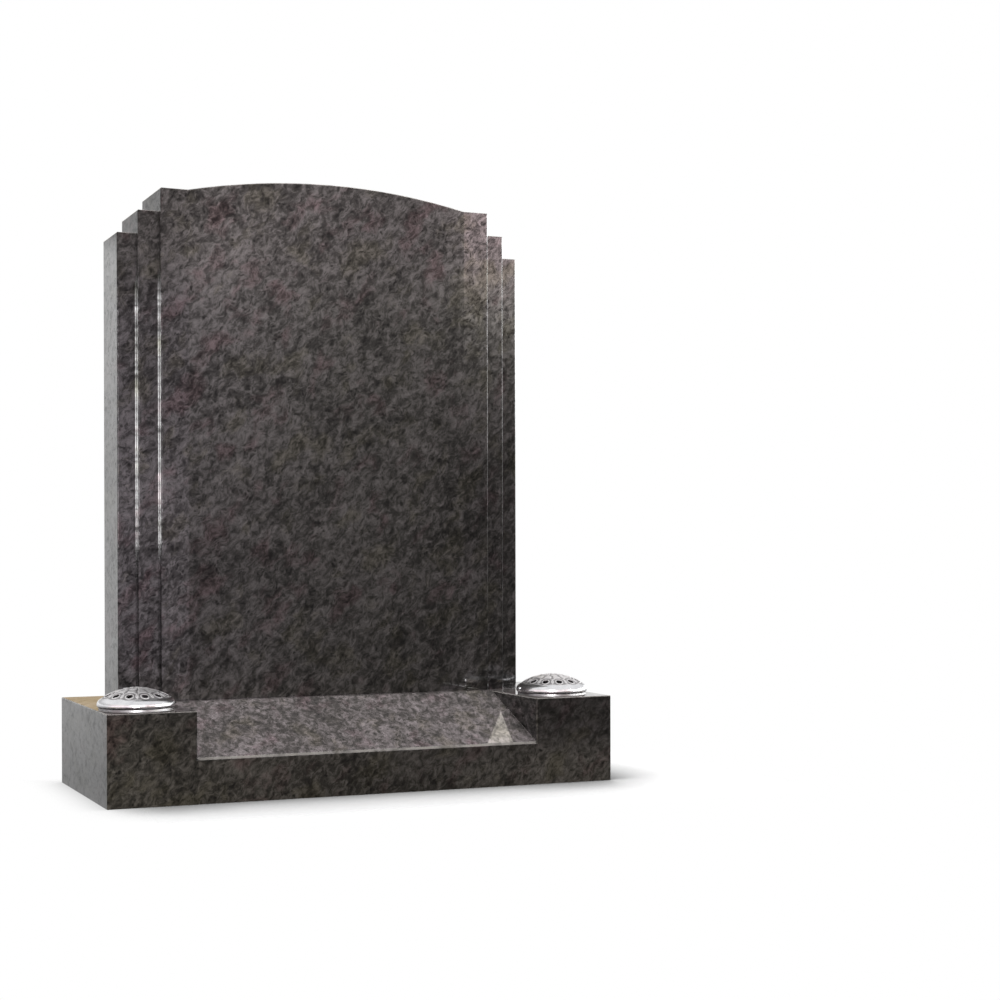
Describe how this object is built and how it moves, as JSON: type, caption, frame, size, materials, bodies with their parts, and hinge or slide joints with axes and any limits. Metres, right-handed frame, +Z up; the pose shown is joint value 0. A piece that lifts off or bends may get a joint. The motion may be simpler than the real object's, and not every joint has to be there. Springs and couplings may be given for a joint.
{
  "type": "headstone",
  "caption": "Polished granite headstone with stepped shoulders and a shallow arched top, on a sloped flower base with pierced domed container lids.",
  "frame": {"origin": "middle of the base's underside", "axes": "+X to the right of someone who faces the panel, +Y towards the back, +Z up"},
  "size_m": [0.762, 0.322, 0.903],
  "materials": {
    "granite": "polished, dark grey-brown mottled",
    "lid_aluminium": "polished",
    "container_aluminium": "plain, dull"
  },
  "bodies": {
    "root": {"headstone": "granite", "base": "granite", "left_container": "container_aluminium", "right_container": "container_aluminium", "left_lid": "lid_aluminium", "right_lid": "lid_aluminium"}
  },
  "joints": []
}
